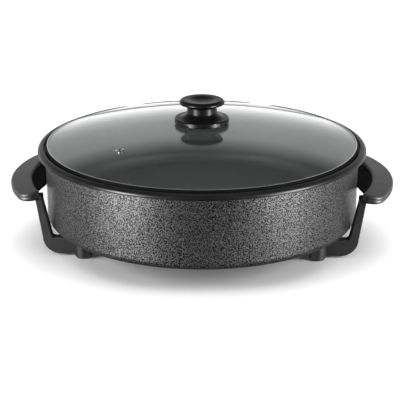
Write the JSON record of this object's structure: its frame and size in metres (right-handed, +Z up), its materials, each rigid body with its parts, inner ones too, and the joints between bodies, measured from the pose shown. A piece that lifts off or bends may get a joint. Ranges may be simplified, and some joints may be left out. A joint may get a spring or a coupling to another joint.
{
  "type": "electric griddle",
  "caption": "Round, deep electric griddle pan with a hammered outside, a domed glass lid with a knob, and a crescent handle on legs at each side.",
  "frame": {"origin": "on the table under the pan's axis", "axes": "+Z up, X through the two handles with +X towards the thermostat inlet, -Y the front"},
  "size_m": [0.4926, 0.42, 0.1829],
  "materials": {
    "pan_coating": "dark hammered coating outside, satin non-stick inside",
    "element_sheath": "dull, heat darkened",
    "pin_steel": "plated",
    "seal_ceramic": "matte",
    "inlet_plastic": "matte moulding",
    "screw_steel": "zinc plated",
    "contact_brass": "plain",
    "grip_black": "satin phenolic moulding",
    "leg_black": "fine matte moulding",
    "foot_rubber": "matte",
    "lid_glass": "clear tempered glass",
    "lid_steel": "bright rolled steel",
    "knob_black": "polished phenolic"
  },
  "bodies": {
    "pan": {"pan_body": "pan_coating", "heating_element": "element_sheath", "terminal_pins": "pin_steel", "terminal_seals": "seal_ceramic", "inlet_guard": "inlet_plastic", "inlet_screws": "screw_steel", "earth_contact": "contact_brass", "grip_cover_screws": "screw_steel", "lug_screws": "screw_steel", "leg_screws": "screw_steel", "foot_screws": "screw_steel", "left_grip_cover": "grip_black", "left_grip_base": "grip_black", "left_front_leg": "leg_black", "left_front_foot": "foot_rubber", "left_rear_leg": "leg_black", "left_rear_foot": "foot_rubber", "right_grip_cover": "grip_black", "right_grip_base": "grip_black", "right_front_leg": "leg_black", "right_front_foot": "foot_rubber", "right_rear_leg": "leg_black", "right_rear_foot": "foot_rubber"},
    "lid": {"lid_glass": "lid_glass", "lid_rim_band": "lid_steel", "steam_vent": "lid_steel", "knob_base": "knob_black", "knob_grip": "knob_black", "knob_insert": "contact_brass", "knob_gasket": "foot_rubber", "knob_washer": "screw_steel", "knob_screw": "screw_steel"}
  },
  "joints": [
    {"name": "lid_lift", "type": "slide", "parent": "pan", "child": "lid", "axis": [0, 0, 1], "range_m": [0, 0.15]}
  ]
}
